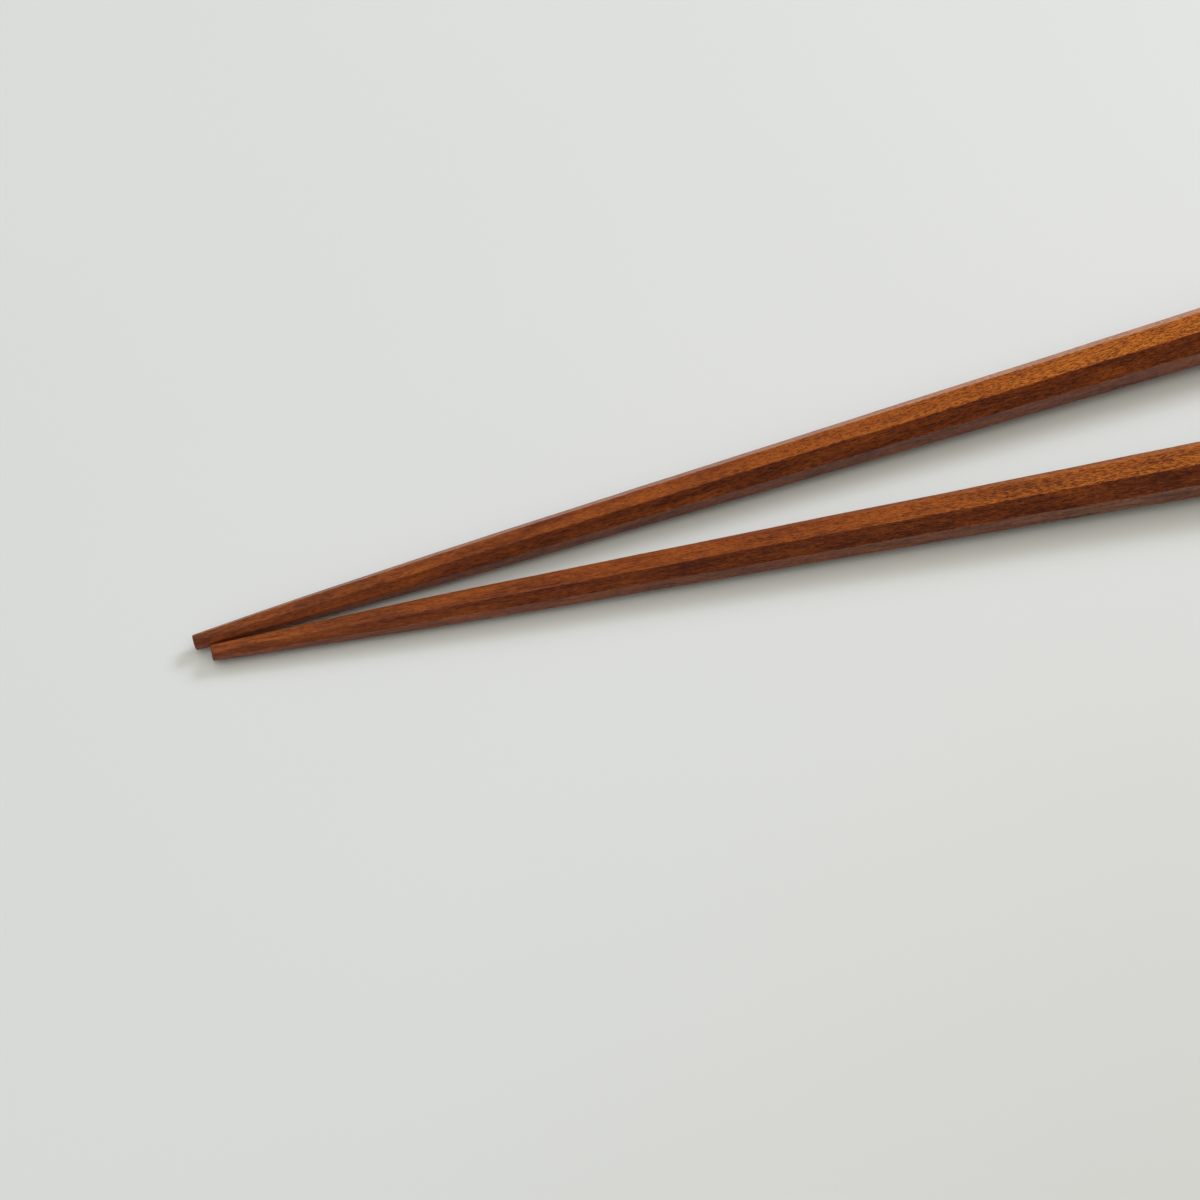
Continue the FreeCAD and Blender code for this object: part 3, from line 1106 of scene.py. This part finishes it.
@dataclass(frozen=True)
class Studio:
    """The pale table top, the soft light and the camera. Lengths are in metres."""

    floor_half: float = 4.0
    floor_colour: Colour = (0.757, 0.760, 0.746, 1.0)
    floor_warm: Colour = (1.0, 0.994, 0.976, 1.0)
    # Painted shade: the darker tone of the table towards the near right.
    floor_falloff_shade: Colour = (0.895, 0.885, 0.862, 1.0)
    floor_roughness: float = 0.55
    cloud_size: float = 0.05
    cloud_shade: float = 0.985
    warm_reach: Span = (-0.12, 0.0)
    fade_way: Span = (0.486, -0.874)
    fade_reach: Span = (-0.02, 0.11)
    fade_most: float = 0.9
    key_bearing: float = 31.0
    key_height: float = 34.0
    key_distance: float = 1.25
    key_width: float = 0.56
    key_tall: float = 0.38
    key_power: float = 8.29
    key_colour: Tuple[float, float, float] = (0.781, 0.829, 1.0)
    sky: Colour = (1.0, 1.0, 0.925, 1.0)
    sky_level: float = 0.530
    sky_overhead: float = 0.56
    sky_tipward: float = 0.46
    sky_sides: float = 0.77
    sky_least: float = 0.04
    camera_at: Tuple[float, float, float] = (-0.1539, -0.3232, 0.5011)
    aim: Tuple[float, float, float] = (-0.06337, -0.0059, 0.0)
    lens: float = 138.46
    sensor: float = 36.0
    clip: float = 0.01

    def table(self) -> bpy.types.Object:
        """Lays the pale table top at the height the sticks rest on.

        It is slightly clouded, warmer towards the handles, and darker towards the near right as
        painted shade for the light's falloff.

        Returns:
            The floor object.
        """
        half = self.floor_half
        mesh = bpy.data.meshes.new("table_top")
        mesh.from_pydata([(-half, -half, 0), (half, -half, 0), (half, half, 0),
                          (-half, half, 0)], [], [(0, 1, 2, 3)])
        floor = bpy.data.objects.new("table_top", mesh)
        bpy.context.scene.collection.objects.link(floor)
        material = bpy.data.materials.new("pale_table")
        material.use_nodes = True
        sheet = NodeSheet(material.node_tree)
        shader = material.node_tree.nodes["Principled BSDF"]
        place = sheet.wire(sheet.add("ShaderNodeTexCoord"), "Object")
        where = sheet.vector("DIVIDE", place, (self.cloud_size,) * 3)
        cloud = sheet.noise(where, detail=3.0, roughness=0.5)
        darker = tuple(c * self.cloud_shade for c in self.floor_colour[:3]) + (1.0,)
        plain = sheet.blend(cloud, darker, self.floor_colour)
        handleward, aside, _ = sheet.split(place)
        warmer = sheet.blend(1.0, plain, self.floor_warm, "MULTIPLY")
        plain = sheet.blend(sheet.ramp(handleward, *self.warm_reach), plain, warmer)
        # Painted shade: the table is darkened towards the near right, where the light falls off.
        near_right = handleward * self.fade_way[0] + aside * self.fade_way[1]
        fade = sheet.ramp(near_right, *self.fade_reach, 0.0, self.fade_most)
        faded = sheet.blend(1.0, plain, self.floor_falloff_shade, "MULTIPLY")
        sheet.put(shader.inputs["Base Color"], sheet.blend(fade, plain, faded))
        shader.inputs["Roughness"].default_value = self.floor_roughness
        mesh.materials.append(material)
        return floor

    def lights(self) -> None:
        """Hangs one large soft light to the right and behind, under a soft sky.

        The sky is brighter overhead and beyond the tips than at the two sides, as the
        reference's shadows ask.
        """
        world = bpy.data.worlds.new("soft_sky")
        world.use_nodes = True
        sheet = NodeSheet(world.node_tree)
        along, aside, upward = sheet.split(
            sheet.wire(sheet.add("ShaderNodeTexCoord"), "Generated"))
        glow = (upward * self.sky_overhead - along * self.sky_tipward
                - aside * aside * self.sky_sides + self.sky_level)
        background = world.node_tree.nodes["Background"]
        background.inputs["Color"].default_value = self.sky
        sheet.put(background.inputs["Strength"], sheet.math("MAXIMUM", glow, self.sky_least))
        bpy.context.scene.world = world
        light = bpy.data.lights.new("window_light", "AREA")
        light.shape = "RECTANGLE"
        light.size = self.key_width
        light.size_y = self.key_tall
        light.energy = self.key_power
        light.color = self.key_colour
        lamp = bpy.data.objects.new("window_light", light)
        bpy.context.scene.collection.objects.link(lamp)
        bearing, height = math.radians(self.key_bearing), math.radians(self.key_height)
        back = Vector((math.cos(bearing) * math.cos(height),
                       math.sin(bearing) * math.cos(height), math.sin(height)))
        lamp.location = Vector(self.aim) + back * self.key_distance
        lamp.rotation_mode = "QUATERNION"
        lamp.rotation_quaternion = (-back).to_track_quat("-Z", "Y")

    def camera(self) -> bpy.types.Object:
        """Sets the camera at the viewing angle of the reference.

        Returns:
            The camera object.
        """
        data = bpy.data.cameras.new("camera")
        data.lens = self.lens
        data.sensor_width = self.sensor
        data.clip_start = self.clip
        camera = bpy.data.objects.new("camera", data)
        bpy.context.scene.collection.objects.link(camera)
        camera.location = self.camera_at
        sight = Vector(self.aim) - Vector(self.camera_at)
        camera.rotation_mode = "QUATERNION"
        camera.rotation_quaternion = sight.to_track_quat("-Z", "Y")
        bpy.context.scene.camera = camera
        bpy.context.scene.view_settings.view_transform = "Standard"
        return camera


def sticks() -> List[Chopstick]:
    """Names the two sticks of the pair, each with its own wood.

    Returns:
        The back stick, then the front one.
    """
    back = OiledHardwood("oiled_hardwood_back", log_turn=20.0, offset=(310.0, 41.0, 17.0),
                         streaks=0.35, sheen_rise=0.87, lit_lift_tip=0.07, tip_tone=0.30,
                         handle_tone=0.18, dull=0.05, far_sheen=0.9)
    front = OiledHardwood("oiled_hardwood_front", log_turn=-55.0, offset=(870.0, 13.0, 66.0),
                          streaks=0.75, sheen_rise=0.64, lit_lift_tip=0.30, tip_tone=0.22,
                          handle_tone=-0.08, dull=0.52, far_tone=0.20, bare=0.6)
    return [Chopstick("back_chopstick", seed=3, wood=back),
            Chopstick("front_chopstick", seed=8, wood=front)]


def main() -> None:
    """Builds the studio and the pair, and reports each piece."""
    logging.basicConfig(level=logging.INFO, format="%(message)s")
    studio = Studio()
    studio.camera()
    studio.lights()
    studio.table()
    groups = WoodGroups.build()
    tree = PlanedStick().tree()
    for stick in sticks():
        stick.make(tree, groups)


if __name__ == "__main__":
    main()
